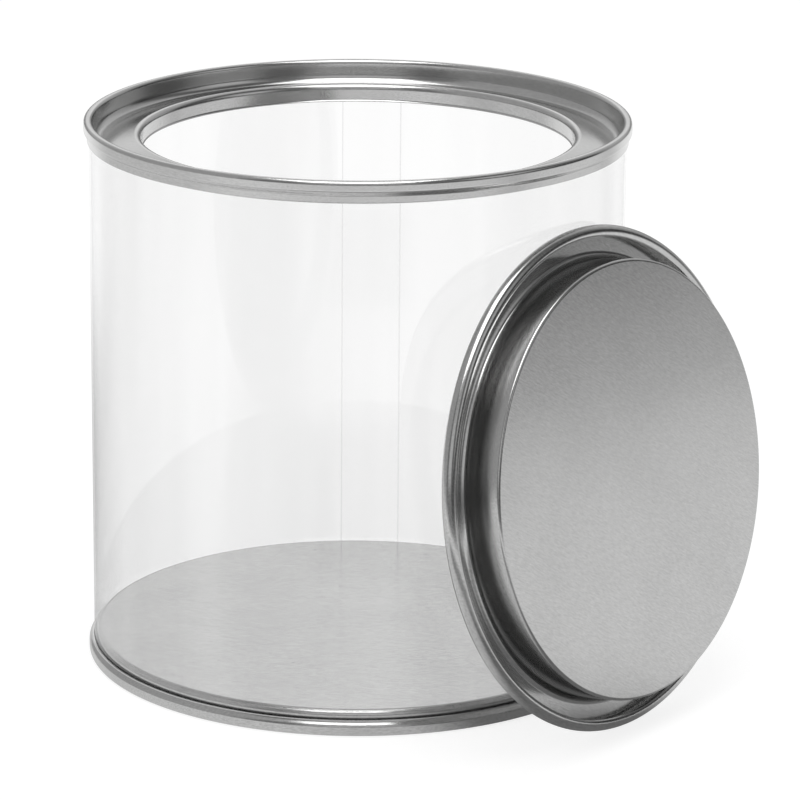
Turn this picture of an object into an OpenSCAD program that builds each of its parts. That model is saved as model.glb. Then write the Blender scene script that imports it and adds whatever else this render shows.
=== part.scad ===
// Friction lid tin with a clear rolled wall, a tinplate top ring and foot end, and a tinplate plug lid.
// The origin is the middle of the foot on the floor, +Z is up, and the lid leans on the wall on the +X side.

/* [Can] */
// Height of the can, from the floor to the crown of the top seam
can_height = 88.8; // [60:0.1:160]
// Diameter over the seams
seam_d = 87.4; // [83:0.1:120]
// How far the seams stand out beyond the clear wall
seam_overhang = 0.85; // [0.7:0.05:1.2]
// Thickness of the tinplate
tin_t = 0.25; // [0.18:0.01:0.28]
// Corner radius on the crown of a seam
crown_round = 0.6; // [0.3:0.05:0.65]
// Height of a seam's upright face, from its crown to where the sheet is drawn in
seam_face_h = 1.5; // [1.2:0.05:2.5]
// Height over which a seam is drawn in to the clear wall
crimp_h = 0.95; // [0.8:0.05:1.5]
// Clearance between the clear wall and the tinplate on each side of it
grip_gap = 0.06; // [0.04:0.01:0.1]

/* [Clear wall] */
// Thickness of the clear sheet
wall_t = 0.3; // [0.2:0.05:0.6]
// Width of the lap where the two ends of the sheet are bonded
lap_w = 9.8; // [5:0.1:20]
// Direction of the lap's middle, in degrees about Z from +X
lap_azimuth = 125.5; // [60:0.5:300]
// Gap between a cut edge of the sheet and the tinplate beyond it
edge_gap = 0.4; // [0.2:0.1:1]

/* [Top ring] */
// Height of the top seam's band that lies on the wall
top_grip_h = 0.9; // [0.3:0.1:3]
// Depth of the channel at the foot of the chuck wall, below the crown
channel_depth = 3.8; // [3.2:0.1:5]
// Inside radius of the channel, where the chuck wall turns into the panel
channel_round = 1.5; // [0.8:0.1:1.8]
// Distance from the chuck wall to the opening
panel_w = 7.74; // [6.5:0.01:12]
// Depth of the neck's top below the crown, to which the panel climbs
neck_top_depth = 2.45; // [2:0.05:3]
// Radius where the panel turns down into the neck
neck_round = 0.9; // [0.4:0.1:1.2]
// Depth of the neck's raw edge below the crown
neck_depth = 5.3; // [4.6:0.1:12]

/* [Foot end] */
// Height of the foot seam's band that lies on the wall
foot_grip_h = 0.1; // [0.1:0.1:1.2]
// Height of the end panel above the floor
foot_panel_z = 3.9; // [3:0.1:6]
// Radius round the edge of the end panel
foot_round = 1; // [0.4:0.1:2]

/* [Lid] */
// Room between the seated lid's curl and the chuck wall, for the tip of a lever
lever_gap = 2.84; // [1:0.01:3.2]
// Outside radius of the curl
curl_r = 1.15; // [0.8:0.05:1.25]
// How far the curl turns, in degrees, from the flange to its raw edge
curl_turn = 215; // [180:5:260]
// Radius where the flange turns down into the plug
root_round = 1.1; // [0.5:0.1:1.5]
// Depth of the plug below the top of the flange
plug_depth = 7.3; // [5:0.1:14]
// Radius round the edge of the plug
plug_round = 0.45; // [0.4:0.05:2.5]
// Clearance between the plug and the neck, all round
plug_fit = 0.3; // [0.1:0.05:0.6]

/* [Where the lid rests] */
// Lean of the lid from upright, in degrees
lean_angle = 9; // [6:0.05:25]
// Clearance between the lid's curl and the can it leans on
lean_gap = 0.2; // [0.1:0.05:1]
// How far the lid's middle stands beside the plane of its lean
lean_shift = -1.45; // [-3:0.05:3]

/* [Hidden] */
$fn = 96;

// Angle between the points along a bend
bend_step = 15;

// Points along the slope where a seam is drawn in
crimp_steps = 8;

seam_r = seam_d / 2;
wall_r = seam_r - seam_overhang;
wall_in_r = wall_r - wall_t;

top_seam_h = seam_face_h + crimp_h + top_grip_h;
foot_seam_h = seam_face_h + crimp_h + foot_grip_h;

// Middle of the sheet in a seam's face, in its band on the wall and in the chuck wall
face_r = seam_r - tin_t / 2;
grip_r = wall_r + grip_gap + tin_t / 2;
chuck_r = wall_in_r - grip_gap - tin_t / 2;
chuck_in_r = chuck_r - tin_t / 2;

lap_angle = lap_w / wall_in_r * 180 / PI;

opening_r = chuck_in_r - panel_w;
plug_r = opening_r - plug_fit;
curl_ring_r = chuck_in_r - lever_gap - curl_r;

// The lid's curl meets the wall below the top seam, or the seam itself on a short can
lid_top_z = curl_r * 2 + 2 * curl_ring_r * cos(lean_angle);
lean_on_r = lid_top_z > can_height - top_seam_h ? seam_r : wall_r;

// Middle of the curl's ring when the lid's foot is on the floor and its top edge is at the can
lean_x = lean_on_r + lean_gap + curl_r + curl_ring_r * sin(lean_angle);
lean_z = curl_r + curl_ring_r * cos(lean_angle);

// Points along an arc, from angle a0 to angle a1
function arc(centre, r, a0, a1) =
    let (steps = ceil(abs(a1 - a0) / bend_step))
    [for (i = [0:steps])
        let (a = a0 + (a1 - a0) * i / steps)
        centre + r * [cos(a), sin(a)]];

function unit(v) = v / norm(v);

function left_of(v) = [-v.y, v.x];

// Offset direction at point i of a path, long enough to keep the sheet's thickness at a corner
function offset_at(path, i) =
    let (last = len(path) - 1)
    let (before = unit(i == 0 ? path[1] - path[0] : path[i] - path[i - 1]))
    let (after = unit(i == last ? path[last] - path[last - 1] : path[i + 1] - path[i]))
    let (mean = unit(left_of(before) + left_of(after)))
    mean / (mean * left_of(before));

// One side of a sheet whose middle follows the path
function sheet_side(path, d) = [for (i = [0:len(path) - 1]) path[i] + d * offset_at(path, i)];

function reversed(list) = [for (i = [len(list) - 1:-1:0]) list[i]];

// A ring or disc of tinplate, turned from the path of its middle line
module turned_sheet(path) {
    rotate_extrude()
        polygon(concat(sheet_side(path, tin_t / 2), reversed(sheet_side(path, -tin_t / 2))));
}

// Path of a seam crimped onto the wall's end, from its raw edge over the crown into the chuck wall.
// The crown is at height 0 and the rest hangs below it. The slope is half a wave of a cosine.
function seam_path(height) =
    let (bend_r = crown_round - tin_t / 2)
    concat(
        [[grip_r, -height]],
        [for (i = [0:crimp_steps])
            let (share = i / crimp_steps)
            [grip_r + (face_r - grip_r) * (1 - cos(180 * share)) / 2,
                -seam_face_h - crimp_h * (1 - share)]],
        arc([face_r - bend_r, -crown_round], bend_r, 0, 90),
        arc([chuck_r + bend_r, -crown_round], bend_r, 90, 180)
    );

// A clear sheet rolled into a tube, with its ends lapped on the inside
module clear_wall() {
    bottom_z = tin_t + edge_gap;
    top_z = can_height - tin_t - edge_gap;
    lap_bottom_z = foot_panel_z + edge_gap;
    lap_top_z = can_height - channel_depth - tin_t;
    color("white", 0.25) {
        rotate_extrude()
            translate([wall_in_r, bottom_z])
                square([wall_t, top_z - bottom_z]);
        rotate([0, 0, lap_azimuth - lap_angle / 2])
            rotate_extrude(angle = lap_angle)
                translate([wall_in_r - wall_t, lap_bottom_z])
                    square([wall_t * 1.5, lap_top_z - lap_bottom_z]);
    }
}

// The ring round the opening: seam, chuck wall, channel, climbing panel and neck.
// The panel is the straight line that touches both the channel's bend and the neck's.
module top_ring() {
    channel_bend_r = channel_round + tin_t / 2;
    neck_bend_r = neck_round - tin_t / 2;
    channel_at = [chuck_r - channel_bend_r, channel_round - channel_depth];
    neck_at = [opening_r + neck_round, -neck_top_depth - neck_round];
    apart = channel_at - neck_at;
    climb = asin((channel_bend_r + neck_bend_r) / norm(apart)) - atan2(apart.y, apart.x);
    color("silver")
        translate([0, 0, can_height])
            turned_sheet(concat(
                seam_path(top_seam_h),
                arc(channel_at, channel_bend_r, 0, -90 - climb),
                arc(neck_at, neck_bend_r, 90 - climb, 180),
                [[neck_at.x - neck_bend_r, -neck_depth]]
            ));
}

// The end that closes the can, with its panel raised clear of the floor
module foot_end() {
    panel_bend_r = foot_round - tin_t / 2;
    color("silver")
        mirror([0, 0, 1])
            turned_sheet(concat(
                seam_path(foot_seam_h),
                arc([chuck_r - panel_bend_r, foot_round - foot_panel_z], panel_bend_r, 0, -90),
                [[0, tin_t / 2 - foot_panel_z]]
            ));
}

// The lid as it would sit on its flange, with the top of the flange at height 0
module lid_sheet() {
    curl_mid_r = curl_r - tin_t / 2;
    root_bend_r = root_round + tin_t / 2;
    plug_bend_r = plug_round - tin_t / 2;
    turned_sheet(concat(
        arc([curl_ring_r, -curl_r], curl_mid_r, 90 - curl_turn, 90),
        arc([plug_r + root_round, -tin_t - root_round], root_bend_r, 90, 180),
        arc([plug_r - plug_round, plug_round - plug_depth], plug_bend_r, 0, -90),
        [[0, tin_t / 2 - plug_depth]]
    ));
}

// The lid taken off, standing on its curl with its plug side outwards, and leaning on the can
module plug_lid() {
    color("silver")
        translate([lean_x, lean_shift, lean_z])
            rotate([0, -90 - lean_angle, 0])
                translate([0, 0, curl_r])
                    lid_sheet();
}

clear_wall();
top_ring();
foot_end();
plug_lid();
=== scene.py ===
"""Friction lid tin with a clear rolled wall: its visual model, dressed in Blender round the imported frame.

The tin stands at the origin with +Z up. Its lid is off, and leans on the wall on the +X side.
"""
import logging
import math
from dataclasses import dataclass
from enum import Enum

import bpy
import numpy as np
from mathutils import Matrix, Vector


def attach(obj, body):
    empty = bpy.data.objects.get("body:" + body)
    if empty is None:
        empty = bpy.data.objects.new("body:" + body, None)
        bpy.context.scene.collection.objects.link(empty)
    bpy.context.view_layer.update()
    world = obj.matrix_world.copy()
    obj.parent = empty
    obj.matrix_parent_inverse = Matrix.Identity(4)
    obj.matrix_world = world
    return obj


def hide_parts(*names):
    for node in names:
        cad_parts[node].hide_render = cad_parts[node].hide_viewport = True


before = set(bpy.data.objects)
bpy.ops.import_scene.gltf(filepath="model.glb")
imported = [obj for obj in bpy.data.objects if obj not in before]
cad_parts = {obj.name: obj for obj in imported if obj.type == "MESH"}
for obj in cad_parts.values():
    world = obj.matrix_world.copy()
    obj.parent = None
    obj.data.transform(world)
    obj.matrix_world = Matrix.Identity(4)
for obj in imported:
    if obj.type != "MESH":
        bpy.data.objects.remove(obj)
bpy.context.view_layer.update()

log = logging.getLogger("tin")

MM = 0.001
ROUND = 256  # slices round a turned piece
ARC_STEP = math.radians(7.5)  # between two points along a bend
GUARD = 0.04  # mm from each end of a straight run, where an extra ring keeps its shading flat
TOUCHING = 1e-6  # mm between two runs that share their end point
SHARP = math.radians(35)  # bend between two faces that shows as an edge


class Body(Enum):
    """The two bodies of the model that pieces ride on."""

    CAN = "can"
    LID = "lid"


class Slot(Enum):
    """The record's material slots."""

    TIN = "tinplate"
    CLEAR = "clear_sheet"


# Surfaces


def arc(centre: tuple[float, float], radius: float, start: float | np.ndarray, end: float) -> np.ndarray:
    """Points along an arc in the (radius, height) plane: centre + radius * (cos a, sin a).

    Args:
        centre: middle of the bend, in mm.
        radius: radius of the bend, in mm.
        start: first angle in degrees, or one for each slice round the piece.
        end: last angle in degrees.

    Returns:
        An array of (point, slice, 2).
    """
    first, last = np.radians(np.atleast_1d(start)), np.radians(np.atleast_1d(end))
    count = max(2, math.ceil(float(np.abs(last - first).max()) / ARC_STEP) + 1)
    share = np.linspace(0.0, 1.0, count)[:, None]
    angle = first[None, :] * (1 - share) + last[None, :] * share
    return np.stack([centre[0] + radius * np.cos(angle), centre[1] + radius * np.sin(angle)], -1)


def point(radius: float, height: float) -> np.ndarray:
    """One point of a path, in mm, as an array of (1, 1, 2)."""
    return np.array([[[radius, height]]])


def joined(*runs: np.ndarray) -> np.ndarray:
    """One path from several runs, with a guard ring near both ends of each straight stretch.

    A stretch between two runs is straight. A point is added GUARD mm in from each of its ends, on the line
    between them, so that smooth shading doesn't carry a bend's tilt across a flat face.

    Args:
        runs: arrays of (point, slice, 2), with one slice where all are alike.

    Returns:
        An array of (point, slice, 2).
    """
    slices = max(run.shape[1] for run in runs)
    wide = [np.broadcast_to(run, (run.shape[0], slices, 2)) for run in runs]
    out = [wide[0]]
    for run in wide[1:]:
        a, b = out[-1][-1:], run[:1]
        span = np.linalg.norm(b - a, axis=-1, keepdims=True)
        if span.min() > 4 * GUARD:
            step = (b - a) / span * GUARD
            out += [a + step, b - step]
        out.append(run if span.max() > TOUCHING else run[1:])
    return np.concatenate(out)


def sheet_side(path: np.ndarray, offset: float) -> np.ndarray:
    """One side of a sheet whose middle follows the path.

    Each point moves by offset along the mean of its neighbours' normals, divided by that mean's share of the
    first one, so the sheet keeps its thickness round a corner.

    Args:
        path: the middle, as an array of (point, slice, 2).
        offset: how far the side lies to the left of the path, in mm.

    Returns:
        The side, as an array like the path.
    """
    step = np.diff(path, axis=0)
    step /= np.linalg.norm(step, axis=-1, keepdims=True)
    before = np.concatenate([step[:1], step])
    after = np.concatenate([step, step[-1:]])
    left_before = np.stack([-before[..., 1], before[..., 0]], -1)
    left_after = np.stack([-after[..., 1], after[..., 0]], -1)
    mean = left_before + left_after
    mean /= np.linalg.norm(mean, axis=-1, keepdims=True)
    return path + offset * mean / (mean * left_before).sum(-1, keepdims=True)


def sheet_section(path: np.ndarray, thickness: float) -> np.ndarray:
    """Closed outline of a sheet: one side of the path out, and the other side back."""
    return np.concatenate([sheet_side(path, -thickness / 2)[::-1], sheet_side(path, thickness / 2)])


def turned(name: str, section: np.ndarray, to_axis: bool, place: Matrix) -> bpy.types.Object:
    """Turns an outline about Z: (r, z) at slice angle a goes to (r cos a, r sin a, z).

    The UV map has the angle round as U, from 0 to 1, and the distance along the outline in mm as V. The sign
    of the placed form's volume, the sum of a . (b x c) over its triangles, tells whether its faces point
    outwards. They are turned where they don't.

    Args:
        name: the piece's name.
        section: outline in mm, as an array of (point, slice, 2).
        to_axis: True if both ends of the outline lie on the axis, which closes each in one point.
        place: where the turned form goes, in mm.

    Returns:
        The piece, in metres, with its place in its mesh.
    """
    rings = section.shape[0]
    slices = ROUND if section.shape[1] == 1 else section.shape[1]
    section = np.broadcast_to(section, (rings, slices, 2))
    angle = np.arange(slices) / slices * 2 * math.pi
    radius, height = section[..., 0], section[..., 1]
    grid = np.stack([radius * np.cos(angle), radius * np.sin(angle), height], -1)
    along = np.zeros(rings + 1)
    loop = np.concatenate([section[:, 0], section[:1, 0]])
    along[1:] = np.cumsum(np.linalg.norm(np.diff(loop, axis=0), axis=-1))

    turn = np.arange(slices)
    nxt = (turn + 1) % slices
    if to_axis:
        verts = np.concatenate([grid[:1, 0], grid[1:-1].reshape(-1, 3), grid[-1:, 0]])
        inner = rings - 2
        row = 1 + np.arange(inner - 1)[:, None] * slices
        quads = np.stack([row + turn, row + nxt, row + slices + nxt, row + slices + turn], -1).reshape(-1, 4)
        first = np.stack([np.zeros_like(turn), 1 + nxt, 1 + turn], -1)
        end = 1 + (inner - 1) * slices
        last = np.stack([np.full_like(turn, len(verts) - 1), end + turn, end + nxt], -1)
        tris = np.concatenate([first, last])
    else:
        verts = grid.reshape(-1, 3)
        row = np.arange(rings)[:, None] * slices
        up = (np.arange(rings)[:, None] + 1) % rings * slices
        quads = np.stack([row + turn, row + nxt, up + nxt, up + turn], -1).reshape(-1, 4)
        tris = np.zeros((0, 3), int)
    ring_of, slice_of = np.repeat(np.arange(rings), slices), np.tile(turn, rings)
    if to_axis:
        ring_of = np.concatenate([[0], ring_of[slices:-slices], [rings - 1]])
        slice_of = np.concatenate([[0], slice_of[slices:-slices], [0]])

    world = np.array(place)
    verts = (verts @ world[:3, :3].T + world[:3, 3]) * MM
    a, b, c = verts[np.concatenate([quads[:, :3], quads[:, [0, 2, 3]], tris])].transpose(1, 0, 2)
    if np.einsum("ij,ij->", a, np.cross(b, c)) < 0:
        quads, tris = quads[:, ::-1], tris[:, ::-1]
    corners = np.concatenate([quads.reshape(-1), tris.reshape(-1)]).astype(np.int32)
    sizes = np.concatenate([np.full(len(quads), 4), np.full(len(tris), 3)])

    mesh = bpy.data.meshes.new(name)
    mesh.vertices.add(len(verts))
    mesh.vertices.foreach_set("co", verts.astype(np.float32).ravel())
    mesh.loops.add(len(corners))
    mesh.loops.foreach_set("vertex_index", corners)
    mesh.polygons.add(len(sizes))
    starts = np.concatenate([[0], np.cumsum(sizes)[:-1]])
    mesh.polygons.foreach_set("loop_start", starts.astype(np.int32))
    mesh.update(calc_edges=True)
    mesh.validate()

    face_of = np.repeat(np.arange(len(sizes)), sizes)
    u, v = slice_of[corners] / slices, along[ring_of[corners]]
    high_u = np.maximum.reduceat(u, starts)[face_of]
    u = np.where(high_u - u > 0.5, u + 1.0, u)
    high_v = np.maximum.reduceat(v, starts)[face_of]
    v = np.where((high_v - v > along[-1] / 2) & (v == 0.0), along[-1], v)
    uv = np.stack([u, v], -1).astype(np.float32).ravel()
    mesh.uv_layers.new(name="turned").data.foreach_set("uv", uv)
    mesh.shade_smooth()
    mesh.set_sharp_from_angle(angle=SHARP)
    piece = bpy.data.objects.new(name, mesh)
    bpy.context.scene.collection.objects.link(piece)
    return piece


def smooth_noise(seed: int, waves: int) -> np.ndarray:
    """A closed wavy line: a sum of sines with random phases, weaker as they get finer.

    Args:
        seed: start of the random numbers.
        waves: number of sines, where sine n goes round n times.

    Returns:
        One number for each slice, from -1 to 1.
    """
    rng = np.random.default_rng(seed)
    angle = np.arange(ROUND) / ROUND * 2 * math.pi
    number = np.arange(1, waves + 1)
    size = rng.normal(size=waves) / number ** 0.6
    phase = rng.uniform(0, 2 * math.pi, waves)
    total = (size[:, None] * np.sin(number[:, None] * angle + phase[:, None])).sum(0)
    return total / np.abs(total).max()


# Shader groups


def new_group(
        name: str, inputs: dict[str, tuple[str, object]], outputs: dict[str, str]) -> bpy.types.NodeTree:
    """A shader node group with named sockets.

    Args:
        name: the group's name.
        inputs: socket name to its type and default value.
        outputs: socket name to its type.

    Returns:
        The group, with its input and output nodes in place.
    """
    group = bpy.data.node_groups.new(name, "ShaderNodeTree")
    for label, (kind, value) in inputs.items():
        socket = group.interface.new_socket(name=label, in_out="INPUT", socket_type=kind)
        if value is not None:
            socket.default_value = value
    for label, kind in outputs.items():
        group.interface.new_socket(name=label, in_out="OUTPUT", socket_type=kind)
    group.nodes.new("NodeGroupInput")
    group.nodes.new("NodeGroupOutput")
    return group


@dataclass
class Wiring:
    """Short calls that add and link nodes in one tree."""

    tree: bpy.types.NodeTree

    def add(self, kind: str, **sockets: object) -> bpy.types.Node:
        """Adds a node.

        Args:
            kind: the node's type.
            sockets: an input's name, with _ for a space, to its value or what links to it.

        Returns:
            The node.
        """
        node = self.tree.nodes.new(kind)
        for name, value in sockets.items():
            self.feed(node.inputs[name.replace("_", " ")], value)
        return node

    def feed(self, socket: bpy.types.NodeSocket, value: object) -> None:
        """Sets an input to a plain value, or links it to an output."""
        if isinstance(value, bpy.types.NodeSocket):
            self.tree.links.new(value, socket)
        else:
            socket.default_value = value

    def group(self, name: str, **sockets: object) -> bpy.types.NodeOutputs:
        """Adds one of the shared groups.

        Args:
            name: its key in GROUPS.
            sockets: its inputs, as in add.

        Returns:
            Its outputs.
        """
        node = self.tree.nodes.new("ShaderNodeGroup")
        node.node_tree = GROUPS[name]
        for label, value in sockets.items():
            self.feed(node.inputs[label.replace("_", " ")], value)
        return node.outputs

    def math(self, operation: str, *values: object) -> bpy.types.NodeSocket:
        """Adds a Math node.

        Args:
            operation: what it does.
            values: its inputs, in order.

        Returns:
            Its result.
        """
        node = self.tree.nodes.new("ShaderNodeMath")
        node.operation = operation
        for socket, value in zip(node.inputs, values):
            self.feed(socket, value)
        return node.outputs[0]

    def vector(self, operation: str, *values: object) -> bpy.types.Node:
        """Adds a Vector Math node.

        Args:
            operation: what it does.
            values: its inputs, in order.

        Returns:
            The node, since its result may be a vector or a value.
        """
        node = self.tree.nodes.new("ShaderNodeVectorMath")
        node.operation = operation
        for socket, value in zip(node.inputs, values):
            self.feed(socket, value)
        return node

    def noise(self, vector: bpy.types.NodeSocket, scale: float, detail: float, rough: float = 0.5
              ) -> bpy.types.NodeSocket:
        """A Noise Texture's value."""
        return self.add("ShaderNodeTexNoise", Vector=vector, Scale=scale, Detail=detail,
                        Roughness=rough).outputs["Fac"]

    def mix(self, low: object, high: object, share: object) -> bpy.types.NodeSocket:
        """Goes from one number to another: low + (high - low) * share.

        Args:
            low: the number at a share of 0.
            high: the number at a share of 1.
            share: how far to go.

        Returns:
            The number.
        """
        node = self.tree.nodes.new("ShaderNodeMix")
        for name, value in (("Factor", share), ("A", low), ("B", high)):
            self.feed(node.inputs[name], value)
        return node.outputs["Result"]

    def ramp(self, value: object, low: object, high: object, out_low: float, out_high: float,
             smooth: bool = True) -> bpy.types.NodeSocket:
        """Maps a number from one range to another, and holds it at both ends.

        Args:
            value: the number.
            low: where the first range starts.
            high: where it ends.
            out_low: what low becomes.
            out_high: what high becomes.
            smooth: True to ease in and out, False for a straight line.

        Returns:
            The mapped number.
        """
        node = self.tree.nodes.new("ShaderNodeMapRange")
        node.interpolation_type = "SMOOTHSTEP" if smooth else "LINEAR"
        for name, number in (("Value", value), ("From Min", low), ("From Max", high),
                             ("To Min", out_low), ("To Max", out_high)):
            self.feed(node.inputs[name], number)
        return node.outputs["Result"]


def rolled_grain() -> bpy.types.NodeTree:
    """The grain of cold rolled tinplate: short streaks along X, soft clouds and a few dark specks.

    Its vector is in metres with the rolling direction along X. Streaks are noise that is squeezed across the
    direction, so each is Length long and Width wide. A speck is the middle of a cell of a Voronoi pattern.

    Returns:
        The group. Streaks, Clouds and Specks run from 0 to 1.
    """
    cells_per_metre, speck_core, speck_edge = 170.0, 0.025, 0.05
    group = new_group(
        "rolled_grain",
        {"Vector": ("NodeSocketVector", None), "Length": ("NodeSocketFloat", 0.0012),
         "Width": ("NodeSocketFloat", 0.00025), "Cloud Size": ("NodeSocketFloat", 0.012)},
        {"Streaks": "NodeSocketFloat", "Clouds": "NodeSocketFloat", "Specks": "NodeSocketFloat"})
    w = Wiring(group)
    ins, outs = group.nodes["Group Input"].outputs, group.nodes["Group Output"].inputs
    along, across = (w.math("DIVIDE", 1.0, ins[size]) for size in ("Length", "Width"))
    squeeze = w.add("ShaderNodeCombineXYZ", X=along, Y=across, Z=across).outputs[0]
    squeezed = w.vector("MULTIPLY", ins["Vector"], squeeze).outputs[0]
    w.feed(outs["Streaks"], w.noise(squeezed, 1.0, 3.0, 0.6))
    wide = w.vector("SCALE", ins["Vector"])
    w.feed(wide.inputs["Scale"], w.math("DIVIDE", 1.0, ins["Cloud Size"]))
    w.feed(outs["Clouds"], w.noise(wide.outputs[0], 1.0, 2.0))
    cell = w.add("ShaderNodeTexVoronoi", Vector=ins["Vector"], Scale=cells_per_metre)
    w.feed(outs["Specks"], w.ramp(cell.outputs["Distance"], speck_core, speck_edge, 1.0, 0.0))
    return group


def tool_marks() -> bpy.types.NodeTree:
    """Fine lines that rollers leave round a turned edge.

    Its vector is the turned UV map: U goes round once, and V is the distance along the outline in mm. The
    noise is stretched round the piece, so its streaks follow the edge.

    Returns:
        The group. Amount runs from 0 to 1.
    """
    cells = (40.0, 9.0, 1.0)  # once round, and in 1 mm across
    group = new_group("tool_marks", {"Vector": ("NodeSocketVector", None)}, {"Amount": "NodeSocketFloat"})
    w = Wiring(group)
    spread = w.vector("MULTIPLY", group.nodes["Group Input"].outputs["Vector"], cells).outputs[0]
    w.feed(group.nodes["Group Output"].inputs["Amount"], w.noise(spread, 1.0, 3.0, 0.65))
    return group


def polar_place() -> bpy.types.NodeTree:
    """Where a direction or a floor point lies as seen from the tin.

    Its vector is split by Front, a level direction, and Right, the one at a right angle to it.

    Returns:
        The group. Azimuth is 0 along Front and 90 along Right, Elevation is in degrees above the floor, and
        Distance is the vector's level length.
    """
    group = new_group(
        "polar_place",
        {"Vector": ("NodeSocketVector", None), "Front": ("NodeSocketVector", None),
         "Right": ("NodeSocketVector", None)},
        {"Azimuth": "NodeSocketFloat", "Elevation": "NodeSocketFloat", "Distance": "NodeSocketFloat"})
    w = Wiring(group)
    ins, outs = group.nodes["Group Input"].outputs, group.nodes["Group Output"].inputs
    front = w.vector("DOT_PRODUCT", ins["Vector"], ins["Front"]).outputs["Value"]
    right = w.vector("DOT_PRODUCT", ins["Vector"], ins["Right"]).outputs["Value"]
    up = w.add("ShaderNodeSeparateXYZ", Vector=ins["Vector"]).outputs["Z"]
    squares = (w.math("MULTIPLY", part, part) for part in (front, right))
    level = w.math("SQRT", w.math("ADD", *squares))
    for name, rise, run in (("Azimuth", right, front), ("Elevation", up, level)):
        w.feed(outs[name], w.math("MULTIPLY", w.math("ARCTAN2", rise, run), 180.0 / math.pi))
    w.feed(outs["Distance"], level)
    return group


def soft_patch() -> bpy.types.NodeTree:
    """A soft edged patch round a place. Across is in degrees, and Up may be degrees or a distance.

    Returns:
        The group. Mask is 1 within the half sizes less the edges, and 0 beyond the half sizes plus the edges.
    """
    names = ("Across", "Up", "At Across", "At Up", "Half Across", "Half Up", "Edge Across", "Edge Up")
    inputs = {name: ("NodeSocketFloat", 0.0) for name in names}
    group = new_group("soft_patch", inputs, {"Mask": "NodeSocketFloat"})
    w = Wiring(group)
    ins = group.nodes["Group Input"].outputs
    off = w.math("ADD", w.math("SUBTRACT", ins["Across"], ins["At Across"]), 180.0)
    wrapped = w.math("SUBTRACT", w.math("FLOORED_MODULO", off, 360.0), 180.0)
    masks = []
    for offset, name in ((wrapped, "Across"), (w.math("SUBTRACT", ins["Up"], ins["At Up"]), "Up")):
        half, edge = ins["Half " + name], ins["Edge " + name]
        low, high = w.math("SUBTRACT", half, edge), w.math("ADD", half, edge)
        masks.append(w.ramp(w.math("ABSOLUTE", offset), low, high, 1.0, 0.0))
    w.feed(group.nodes["Group Output"].inputs["Mask"], w.math("MULTIPLY", *masks))
    return group


GROUPS = {"grain": rolled_grain(), "marks": tool_marks(), "polar": polar_place(), "patch": soft_patch()}


# Finishes

# Ranges that a noise's values are spread out from
WIDE, MIDDLE, NARROW = (0.25, 0.75), (0.3, 0.7), (0.35, 0.65)


@dataclass(frozen=True)
class Tinplate:
    """Bright tinplate: a grey metal with rolled grain. Angles are in radians and lengths in metres."""

    name: str
    tone: float = 0.62
    blue_share: float = 0.995
    streaks: float = 0.08
    clouds: float = 0.02
    specks: float = 0.1
    roughness: float = 0.16
    roughness_spread: float = 0.1
    grain_turn: tuple[float, float, float] = (0.0, 0.0, 0.0)
    grain_length: float = 0.0012
    grain_width: float = 0.00025
    bump: float = 0.12
    bump_depth: float = 0.00002
    marks_roughness: float = 0.03
    marks_height: float = 0.35

    def material(self) -> bpy.types.Material:
        """Builds the material.

        Streaks and clouds move the grey up and down by their shares, and specks take it down. Streaks and
        tool marks drive the roughness and a shallow bump.

        Returns:
            The material.
        """
        mat = bpy.data.materials.new(self.name)
        mat.use_nodes = True
        w = Wiring(mat.node_tree)
        shader = mat.node_tree.nodes["Principled BSDF"]
        coords = w.add("ShaderNodeTexCoord").outputs
        turn = w.add("ShaderNodeMapping", Vector=coords["Object"])
        turn.vector_type = "TEXTURE"
        turn.inputs["Rotation"].default_value = self.grain_turn
        grain = w.group("grain", Vector=turn.outputs[0], Length=self.grain_length, Width=self.grain_width)
        marks = w.group("marks", Vector=coords["UV"])["Amount"]
        streaks = w.ramp(grain["Streaks"], *WIDE, -self.streaks, self.streaks, smooth=False)
        clouds = w.ramp(grain["Clouds"], *MIDDLE, -self.clouds, self.clouds)
        grey = w.math("MULTIPLY", w.math("ADD", 1.0, w.math("ADD", streaks, clouds)), self.tone)
        clean = w.ramp(grain["Specks"], 0.0, 1.0, 1.0, 1.0 - self.specks, smooth=False)
        grey = w.math("MULTIPLY", grey, clean)
        blue = w.math("MULTIPLY", grey, self.blue_share)
        colour = w.add("ShaderNodeCombineColor", Red=grey, Green=grey, Blue=blue)
        spread = self.roughness * self.roughness_spread
        rough = w.ramp(
            grain["Streaks"], *MIDDLE, self.roughness - spread, self.roughness + spread, smooth=False)
        rough = w.math("ADD", rough, w.math("MULTIPLY", marks, self.marks_roughness))
        height = w.math("ADD", grain["Streaks"], w.math("MULTIPLY", marks, self.marks_height))
        bump = w.add("ShaderNodeBump", Strength=self.bump, Distance=self.bump_depth, Height=height)
        w.feed(shader.inputs["Base Color"], colour.outputs[0])
        w.feed(shader.inputs["Roughness"], rough)
        w.feed(shader.inputs["Normal"], bump.outputs[0])
        shader.inputs["Metallic"].default_value = 1.0
        return mat


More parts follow.
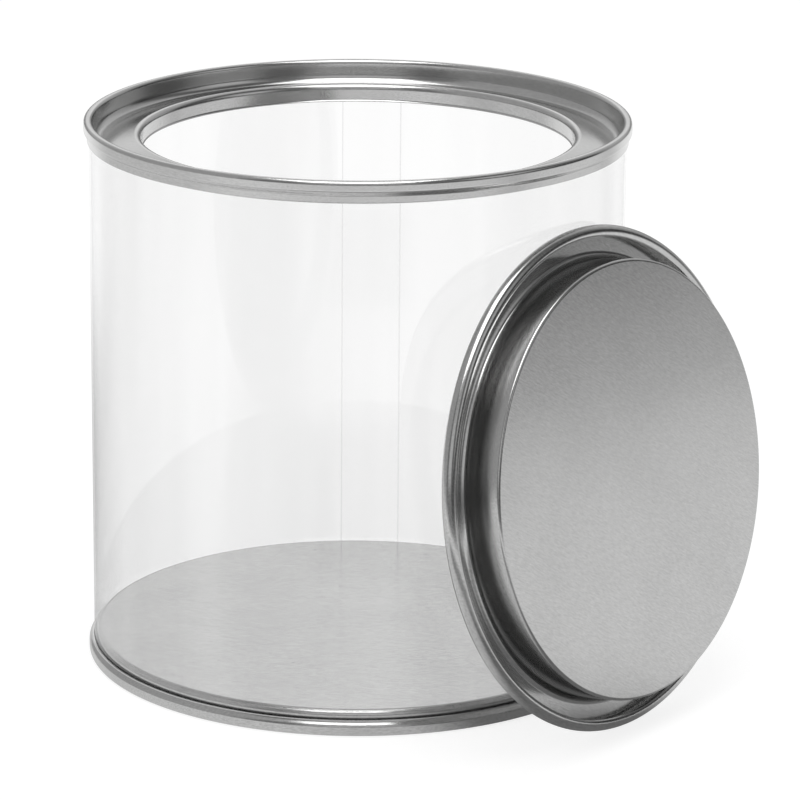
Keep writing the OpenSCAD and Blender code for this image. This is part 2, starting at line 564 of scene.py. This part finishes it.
@dataclass(frozen=True)
class ClearSheet:
    """Thin clear sheet that mirrors by Fresnel's law and lets the rest through, with faint upright streaks.

    The cut edges of its lap show as two fine dark lines. Angles are in degrees round the sheet's axis.
    """

    name: str
    lap_azimuth: float
    lap_half_angle: float
    line_angle: float = 0.13
    line_dim: float = 0.07
    index: float = 1.57
    clearness: float = 0.985
    roughness: float = 0.02
    streaks_per_metre: float = 90.0
    streak_stretch: float = 20.0
    streak_dim: float = 0.01
    streak_lift: float = 0.004

    def material(self) -> bpy.types.Material:
        """Builds the material.

        A ray isn't bent, so a back face takes the index upside down, which gives the same mirrored share as
        the front. What passes is tinted by clearness, less a little along streaks that run up the sheet, and
        less line_dim within line_angle of each cut edge.

        Returns:
            The material.
        """
        mat = bpy.data.materials.new(self.name)
        mat.use_nodes = True
        w = Wiring(mat.node_tree)
        mat.node_tree.nodes.remove(mat.node_tree.nodes["Principled BSDF"])
        back = w.add("ShaderNodeNewGeometry").outputs["Backfacing"]
        index = w.ramp(back, 0.0, 1.0, self.index, 1 / self.index, smooth=False)
        fresnel = w.add("ShaderNodeFresnel", IOR=index)
        coords = w.add("ShaderNodeTexCoord").outputs["Object"]
        upright = w.vector("MULTIPLY", coords, (1.0, 1.0, 1 / self.streak_stretch)).outputs[0]
        streak = w.noise(upright, self.streaks_per_metre, 3.0)
        share = w.ramp(streak, *NARROW, self.clearness - self.streak_dim, self.clearness + self.streak_lift)
        middle = math.radians(self.lap_azimuth)
        polar = w.group("polar", Vector=coords, Front=(math.cos(middle), math.sin(middle), 0.0),
                        Right=(-math.sin(middle), math.cos(middle), 0.0))
        off = w.math("SUBTRACT", w.math("ABSOLUTE", polar["Azimuth"]), self.lap_half_angle)
        near, far = 0.5 * self.line_angle, 1.5 * self.line_angle
        line = w.ramp(w.math("ABSOLUTE", off), near, far, self.line_dim, 0.0)
        share = w.math("SUBTRACT", share, line)
        tint = w.add("ShaderNodeCombineColor", Red=share, Green=share, Blue=share)
        through = w.add("ShaderNodeBsdfTransparent", Color=tint.outputs[0])
        mirror = w.add("ShaderNodeBsdfGlossy", Roughness=self.roughness)
        mirror.inputs["Color"].default_value = (1.0, 1.0, 1.0, 1.0)
        mix = w.add("ShaderNodeMixShader", Fac=fresnel.outputs[0])
        w.feed(mix.inputs[1], through.outputs[0])
        w.feed(mix.inputs[2], mirror.outputs[0])
        w.feed(mat.node_tree.nodes["Material Output"].inputs["Surface"], mix.outputs[0])
        return mat


# The tin


@dataclass
class Tin:
    """The can: a clear rolled wall between a tinplate ring and a tinplate foot.

    Sizes are in mm, as in the CAD.
    """

    height: float = 88.8
    seam_r: float = 43.7
    wall_r: float = 42.85
    wall_t: float = 0.3
    sheet: float = 0.25
    crown_round: float = 0.6
    seam_face: float = 1.5
    crimp: float = 0.95
    grip_gap: float = 0.06
    edge_gap: float = 0.4
    top_grip: float = 0.9
    foot_grip: float = 0.1
    channel_depth: float = 3.8
    channel_round: float = 1.5
    opening_r: float = 34.5
    neck_top: float = 2.45
    neck_round: float = 0.9
    neck_depth: float = 5.3
    neck_lip: float = 0.2
    neck_lip_h: float = 0.32
    foot_panel: float = 3.9
    foot_round: float = 1.0
    lap_width: float = 9.8
    lap_azimuth: float = 125.5
    ring_finish: Tinplate = Tinplate("ring_tinplate")
    foot_finish: Tinplate = Tinplate(
        "foot_tinplate", streaks=0.12, specks=0.3, grain_turn=(0.0, 0.0, math.radians(38.0)))

    @property
    def chuck_r(self) -> float:
        """Radius of the middle of the sheet in the chuck wall."""
        return self.wall_r - self.wall_t - self.grip_gap - self.sheet / 2

    @property
    def lap_half_angle(self) -> float:
        """Half the angle that the lap takes up round the wall, in degrees."""
        return math.degrees(self.lap_width / (self.wall_r - self.wall_t)) / 2

    @property
    def wall_finish(self) -> ClearSheet:
        """The clear sheet, with its lines at the cut edges of the lap."""
        return ClearSheet("clear_wall_sheet", self.lap_azimuth, self.lap_half_angle)

    def seam(self, grip: float, tool_line: bool) -> list[np.ndarray]:
        """Runs of a seam from its raw edge on the wall, round the crimp and over the crown to the chuck wall.

        The sheet is drawn in to the wall along half a wave of a cosine. The tool line is a dent along half a
        wave of a sine.

        Args:
            grip: height of the band that lies on the wall.
            tool_line: True for the fine line that a roller leaves above the crimp.

        Returns:
            The runs, with the crown at height 0.
        """
        face, band = self.seam_r - self.sheet / 2, self.wall_r + self.grip_gap + self.sheet / 2
        bend = self.crown_round - self.sheet / 2
        slope_points, line_points = 17, 7
        share = np.linspace(0.0, 1.0, slope_points)
        slope = np.stack([band + (face - band) * (1 - np.cos(math.pi * share)) / 2,
                          -self.seam_face - self.crimp * (1 - share)], -1)[:, None]
        runs = [point(band, -self.seam_face - self.crimp - grip), slope]
        if tool_line:
            dent, half = 0.03, 0.05  # mm deep, and half the width
            middle = -self.seam_face + 3 * half
            runs += [point(face - dent * math.sin(math.pi * s), middle + half * (2 * s - 1))
                     for s in np.linspace(0.0, 1.0, line_points)]
        return runs + [
            arc((face - bend, -self.crown_round), bend, 0, 90),
            arc((self.chuck_r + bend, -self.crown_round), bend, 90, 180)]

    def build_ring(self) -> bpy.types.Object:
        """The ring round the opening: seam, chuck wall, channel, climbing panel and neck.

        The panel is the straight line that touches both the channel's bend and the neck's. The last of the
        neck turns in by neck_lip, along a parabola, where its raw edge was trimmed.

        Returns:
            The ring.
        """
        lip_points = 9
        bend, neck_bend = self.channel_round + self.sheet / 2, self.neck_round - self.sheet / 2
        channel = np.array([self.chuck_r - bend, self.channel_round - self.channel_depth])
        neck = np.array([self.opening_r + self.neck_round, -self.neck_top - self.neck_round])
        apart = channel - neck
        touch = math.asin((bend + neck_bend) / np.linalg.norm(apart))
        climb = math.degrees(touch - math.atan2(apart[1], apart[0]))
        inner = neck[0] - neck_bend
        lip = [point(inner - self.neck_lip * s ** 2, self.neck_lip_h * (1 - s) - self.neck_depth)
               for s in np.linspace(0.0, 1.0, lip_points)]
        path = joined(
            *self.seam(self.top_grip, True), arc(tuple(channel), bend, 0, -90 - climb),
            arc(tuple(neck), neck_bend, 90 - climb, 180), *lip)
        section = sheet_section(path, self.sheet)
        return turned("top_ring_tin", section, False, Matrix.Translation((0, 0, self.height)))

    def build_foot(self) -> bpy.types.Object:
        """The end that closes the can, with its panel raised off the floor.

        Returns:
            The end, built as a ring is and then mirrored to hang the other way up.
        """
        bend = self.foot_round - self.sheet / 2
        path = joined(
            *self.seam(self.foot_grip, False),
            arc((self.chuck_r - bend, self.foot_round - self.foot_panel), bend, 0, -90),
            point(0.0, self.sheet / 2 - self.foot_panel))
        section = sheet_section(path, self.sheet)
        section[[0, -1], :, 0] = 0.0
        return turned("foot_end_tin", section, True, Matrix.Scale(-1, 4, (0, 0, 1)))

    def build_wall(self) -> bpy.types.Object:
        """The clear sheet: a tube whose inside steps in by one thickness over the lap.

        The inner radius at a slice is the tube's, less the step times a short ramp at each edge of the lap.

        Returns:
            The wall.
        """
        slices = 1440
        ramp = 0.25  # degrees that the step takes at each edge of the lap
        ledge = 0.01  # mm that it takes at the lap's ends
        away = np.abs(np.arange(slices) / slices * 360 - self.lap_azimuth)
        step = np.clip((self.lap_half_angle - away) / ramp + 0.5, 0.0, 1.0) * self.wall_t
        low, high = self.sheet + self.edge_gap, self.height - self.sheet - self.edge_gap
        lap_low, lap_high = self.foot_panel + self.edge_gap, self.height - self.channel_depth - self.sheet
        outer, inner = np.full(slices, self.wall_r), np.full(slices, self.wall_r - self.wall_t)
        rows = [
            (outer, low), (outer, high), (inner, high), (inner, lap_high + ledge),
            (inner - step, lap_high), (inner - step, lap_low), (inner, lap_low - ledge), (inner, low)]
        section = np.stack([np.stack([r, np.full(slices, z)], -1) for r, z in rows])
        return turned("clear_wall_sheet", section, False, Matrix.Identity(4))

    def dress(self) -> None:
        """Builds the three pieces, gives each its finish and puts it in its node's place."""
        for piece, node, slot, finish in (
                (self.build_ring(), "top_ring", Slot.TIN, self.ring_finish),
                (self.build_foot(), "foot_end", Slot.TIN, self.foot_finish),
                (self.build_wall(), "clear_wall", Slot.CLEAR, self.wall_finish)):
            settle(piece, node, Body.CAN, finish)


@dataclass
class Lid:
    """The plug lid, off the can and leaning on its wall. Sizes are in mm, as in the CAD."""

    sheet: float = 0.25
    curl_ring_r: float = 38.25
    curl_r: float = 1.15
    curl_turn: float = 215.0
    plug_r: float = 34.2
    root_round: float = 1.1
    plug_depth: float = 7.3
    plug_round: float = 0.45
    lean: float = 9.0
    place: tuple[float, float, float] = (50.1836, -1.45, 38.9291)
    edge_wave: float = 7.0
    grain_azimuth: float = 122.0

    @property
    def finish(self) -> Tinplate:
        """The lid's tinplate, with its grain in the disc's plane at grain_azimuth round the lid's axis."""
        turn = (Matrix.Rotation(math.radians(-90 - self.lean), 3, "Y")
                @ Matrix.Rotation(math.radians(self.grain_azimuth), 3, "Z"))
        return Tinplate("lid_tinplate", streaks=0.13, specks=0.04, grain_turn=tuple(turn.to_euler()))

    def build(self) -> bpy.types.Object:
        """The lid, turned with its flange's top at height 0 and then stood on its curl.

        The curl stops short or runs on by up to edge_wave degrees round the lid, as a rolled raw edge does.

        Returns:
            The lid.
        """
        bend, root = self.curl_r - self.sheet / 2, self.root_round + self.sheet / 2
        edge = self.plug_round - self.sheet / 2
        raw = 90 - self.curl_turn + self.edge_wave * smooth_noise(seed=7, waves=14)
        path = joined(
            arc((self.curl_ring_r, -self.curl_r), bend, raw, 90.0),
            arc((self.plug_r + self.root_round, -self.sheet - self.root_round), root, 90, 180),
            arc((self.plug_r - self.plug_round, self.plug_round - self.plug_depth), edge, 0, -90),
            point(0.0, self.sheet / 2 - self.plug_depth))
        section = sheet_section(path, self.sheet)
        section[[0, -1], :, 0] = 0.0
        stand = (Matrix.Translation(self.place) @ Matrix.Rotation(math.radians(-90 - self.lean), 4, "Y")
                 @ Matrix.Translation((0, 0, self.curl_r)))
        return turned("plug_lid_tin", section, True, stand)

    def dress(self) -> None:
        """Builds the lid and puts it in its node's place."""
        settle(self.build(), "plug_lid", Body.LID, self.finish)


def settle(
        piece: bpy.types.Object, node: str, body: Body, finish: Tinplate | ClearSheet) -> None:
    """Gives a piece its finish, and lets it stand for its CAD node on its body.

    Args:
        piece: the finished piece.
        node: the CAD node that it replaces.
        body: the body that it rides on.
        finish: what it is made of.
    """
    piece.data.materials.append(finish.material())
    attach(piece, body.value)
    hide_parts(node)
    log.info("%s stands for %s on %s, with %d faces", piece.name, node, body.value, len(piece.data.polygons))


# The studio


@dataclass(frozen=True)
class Card:
    """A soft edged tone in what the tin mirrors, round it or on the floor. On the floor, a card is painted
    light or painted shade that only mirrored rays see.

    Azimuth is in degrees, with 0 towards the camera and 90 to the right. Up is the elevation in degrees for a
    card in the surround, and the distance from the tin's axis in metres for one on the floor.
    """

    azimuth: float
    up: float
    half_width: float
    half_height: float
    level: float
    edge: float
    edge_up: float


SURROUND = (
    Card(azimuth=180, up=38, half_width=38, half_height=26, level=0.56, edge=12, edge_up=8),
    Card(azimuth=180, up=2, half_width=30, half_height=9, level=0.3, edge=10, edge_up=3),
    Card(azimuth=180, up=20.5, half_width=13, half_height=9, level=1.0, edge=8, edge_up=3),
    Card(azimuth=105, up=38, half_width=15, half_height=22, level=0.13, edge=8, edge_up=5),
    Card(azimuth=75, up=60, half_width=40, half_height=13, level=0.1, edge=12, edge_up=5),
    Card(azimuth=95, up=4, half_width=25, half_height=14, level=0.02, edge=8, edge_up=4),
    Card(azimuth=65, up=0, half_width=45, half_height=11, level=0.08, edge=10, edge_up=3),
    Card(azimuth=62, up=24, half_width=12, half_height=12, level=0.58, edge=6, edge_up=3),
    Card(azimuth=38, up=36, half_width=12, half_height=26, level=0.16, edge=6, edge_up=4),
    Card(azimuth=0, up=4, half_width=26, half_height=8, level=0.2, edge=8, edge_up=3),
    Card(azimuth=0, up=24, half_width=20, half_height=12, level=0.56, edge=8, edge_up=4),
    Card(azimuth=-36, up=20, half_width=12, half_height=28, level=0.2, edge=7, edge_up=4),
)
# Painted light and painted shade on the floor, seen only by mirrored rays; the dark card at azimuth 40 within
# about 0.13 m is a painted shadow round the lid.
FLOOR_PAINTED_LIGHT_AND_SHADE = (
    Card(azimuth=-65, up=0.25, half_width=60, half_height=0.27, level=0.72, edge=14, edge_up=0.05),
    Card(azimuth=40, up=0.06, half_width=20, half_height=0.07, level=0.18, edge=10, edge_up=0.015),
    Card(azimuth=12, up=0.17, half_width=38, half_height=0.045, level=0.3, edge=12, edge_up=0.015),
    Card(azimuth=0, up=0.36, half_width=60, half_height=0.14, level=0.9, edge=14, edge_up=0.03),
    Card(azimuth=25, up=2.3, half_width=50, half_height=1.8, level=0.2, edge=14, edge_up=0.08),
    Card(azimuth=95, up=0.3, half_width=25, half_height=0.24, level=0.82, edge=10, edge_up=0.05),
    Card(azimuth=82, up=0.85, half_width=24, half_height=0.3, level=0.48, edge=10, edge_up=0.08),
    Card(azimuth=80, up=2.6, half_width=30, half_height=1.4, level=0.03, edge=12, edge_up=0.2),
    Card(azimuth=180, up=2.2, half_width=50, half_height=2.0, level=1.0, edge=12, edge_up=0.1),
)


@dataclass
class Studio:
    """A pale floor, a soft lamp overhead, cards all round and the camera.

    Lengths are in metres, directions in degrees, and places in the frame in its pixels.
    """

    view_azimuth: float = 38.69
    view_elevation: float = 16.358
    distance: float = 0.731946
    aim: tuple[float, float, float] = (0.0, 0.0, 0.0444)
    roll: float = -0.275
    focal_px: float = 4518.70
    centre_px: tuple[float, float] = (356.585, 384.097)
    frame_px: float = 800.0
    sensor_mm: float = 36.0
    lamp_size: tuple[float, float] = (0.62, 0.9)
    lamp_power: float = 4.0
    lamp_distance: float = 1.0
    lamp_lean: float = 12.0
    sky_level: float = 0.45
    white: float = 1.05
    floor_white: float = 1.34
    floor_glow: float = 0.6
    floor_half: float = 4.0
    floor_drop: float = 0.00005
    paper: float = 0.85
    surround_level: float = 0.4
    surround: tuple[Card, ...] = SURROUND
    floor_level: float = 0.6
    floor_painted_light_and_shade: tuple[Card, ...] = FLOOR_PAINTED_LIGHT_AND_SHADE

    def towards_camera(self, azimuth_shift: float = 0.0) -> Vector:
        """Level direction from the tin to the camera, turned by a shift in degrees."""
        a = math.radians(self.view_azimuth + azimuth_shift)
        return Vector((math.sin(a), -math.cos(a), 0.0))

    def build_camera(self) -> None:
        """Camera at the photograph's place. Its shift moves the frame off the middle of its view."""
        data = bpy.data.cameras.new("view")
        data.sensor_width = self.sensor_mm
        data.lens = self.focal_px * data.sensor_width / self.frame_px
        data.shift_x = (self.frame_px / 2 - self.centre_px[0]) / self.frame_px
        data.shift_y = (self.centre_px[1] - self.frame_px / 2) / self.frame_px
        data.clip_start, data.clip_end = 0.01, 50.0
        camera = bpy.data.objects.new("view", data)
        e = math.radians(self.view_elevation)
        back = self.towards_camera() * math.cos(e) + Vector((0, 0, math.sin(e)))
        camera.location = Vector(self.aim) + back * self.distance
        camera.rotation_mode = "QUATERNION"
        upright = (-back).to_track_quat("-Z", "Y").to_matrix()
        turn = upright @ Matrix.Rotation(-math.radians(self.roll), 3, "Z")
        camera.rotation_quaternion = turn.to_quaternion()
        bpy.context.scene.collection.objects.link(camera)
        bpy.context.scene.camera = camera

    def build_lamp(self) -> None:
        """A soft box above the tin and a little towards the camera."""
        data = bpy.data.lights.new("soft_box", "AREA")
        data.shape = "RECTANGLE"
        data.size, data.size_y = self.lamp_size
        data.energy = self.lamp_power
        lamp = bpy.data.objects.new("soft_box", data)
        lean = math.radians(self.lamp_lean)
        out = self.towards_camera() * math.sin(lean) + Vector((0, 0, math.cos(lean)))
        lamp.location = Vector(self.aim) + out * self.lamp_distance
        lamp.rotation_mode = "QUATERNION"
        lamp.rotation_quaternion = (-out).to_track_quat("-Z", "Y")
        bpy.context.scene.collection.objects.link(lamp)

    def mirrored(self, w: Wiring, place: bpy.types.NodeSocket, up: str, level: float,
                 cards: tuple[Card, ...]) -> bpy.types.NodeSocket:
        """What the tin mirrors from a place: an even level, with the cards laid over it in turn.

        Args:
            w: the tree to build in.
            place: the ray's direction, or the point on the floor.
            up: the polar group's output that a card's up is measured in.
            level: tone where no card is.
            cards: the cards, from the lowest to the topmost.

        Returns:
            The tone.
        """
        polar = w.group("polar", Vector=place, Front=tuple(self.towards_camera()),
                        Right=tuple(self.towards_camera(90.0)))
        tone = level
        for card in cards:
            mask = w.group(
                "patch", Across=polar["Azimuth"], Up=polar[up], At_Across=card.azimuth, At_Up=card.up,
                Half_Across=card.half_width, Half_Up=card.half_height, Edge_Across=card.edge,
                Edge_Up=card.edge_up)["Mask"]
            tone = w.mix(tone, card.level, mask)
        return tone

    def build_world(self) -> None:
        """White to the camera, the cards to what mirrors, and an even grey to light the rest."""
        world = bpy.data.worlds.new("studio")
        bpy.context.scene.world = world
        world.use_nodes = True
        world.cycles.sampling_method = "NONE"
        w = Wiring(world.node_tree)
        way = w.add("ShaderNodeTexCoord").outputs["Generated"]
        cards = self.mirrored(w, way, "Elevation", self.surround_level, self.surround)
        path = w.add("ShaderNodeLightPath").outputs
        seen = w.math("MAXIMUM", path["Is Camera Ray"], path["Is Transmission Ray"])
        level = w.mix(w.mix(self.sky_level, cards, path["Is Glossy Ray"]), self.white, seen)
        ground = world.node_tree.nodes["Background"]
        ground.inputs["Color"].default_value = (1.0, 1.0, 1.0, 1.0)
        w.feed(ground.inputs["Strength"], level)

    def build_floor(self) -> None:
        """A pale floor that shows white to the camera and keeps a share of the object's shadow. To mirrored
        rays it glows instead with painted light and painted shade: an even level with the floor cards laid
        over it, darker round the lid as a painted shadow.
        """
        half = self.floor_half
        mesh = bpy.data.meshes.new("floor")
        mesh.from_pydata([(-half, -half, 0), (half, -half, 0), (half, half, 0), (-half, half, 0)], [],
                         [(0, 1, 2, 3)])
        floor = bpy.data.objects.new("floor", mesh)
        floor.location.z = -self.floor_drop
        bpy.context.scene.collection.objects.link(floor)
        mat = bpy.data.materials.new("floor")
        mat.use_nodes = True
        mat.cycles.emission_sampling = "NONE"
        w = Wiring(mat.node_tree)
        mat.node_tree.nodes.remove(mat.node_tree.nodes["Principled BSDF"])
        path = w.add("ShaderNodeLightPath").outputs
        paper = w.add("ShaderNodeBsdfDiffuse")
        paper.inputs["Color"].default_value = (self.paper, self.paper, self.paper, 1.0)
        spot = w.add("ShaderNodeNewGeometry").outputs["Position"]
        # Mirrored rays see painted light and painted shade here: the floor's even level with its cards laid
        # over it, not the floor's own lit shading.
        painted_floor_light = self.mirrored(w, spot, "Distance", self.floor_level, self.floor_painted_light_and_shade)
        glow = w.add("ShaderNodeEmission", Strength=w.mix(self.floor_white, painted_floor_light, path["Is Glossy Ray"]))
        seen = w.math("MAXIMUM", path["Is Camera Ray"], path["Is Transmission Ray"])
        share = w.math("MAXIMUM", w.math("MULTIPLY", seen, self.floor_glow), path["Is Glossy Ray"])
        mix = w.add("ShaderNodeMixShader", Fac=share)
        w.feed(mix.inputs[1], paper.outputs[0])
        w.feed(mix.inputs[2], glow.outputs[0])
        w.feed(mat.node_tree.nodes["Material Output"].inputs["Surface"], mix.outputs[0])
        mesh.materials.append(mat)

    def build(self) -> None:
        """Sets up all of it, with the Standard view."""
        bpy.context.scene.view_settings.view_transform = "Standard"
        self.build_camera()
        self.build_lamp()
        self.build_world()
        self.build_floor()


def main() -> None:
    """Builds the studio, the can and the lid, in that order. Each piece is logged as it settles."""
    logging.basicConfig(level=logging.INFO, format="%(name)s: %(message)s")
    Studio().build()
    Tin().dress()
    Lid().dress()


if __name__ == "__main__":
    main()
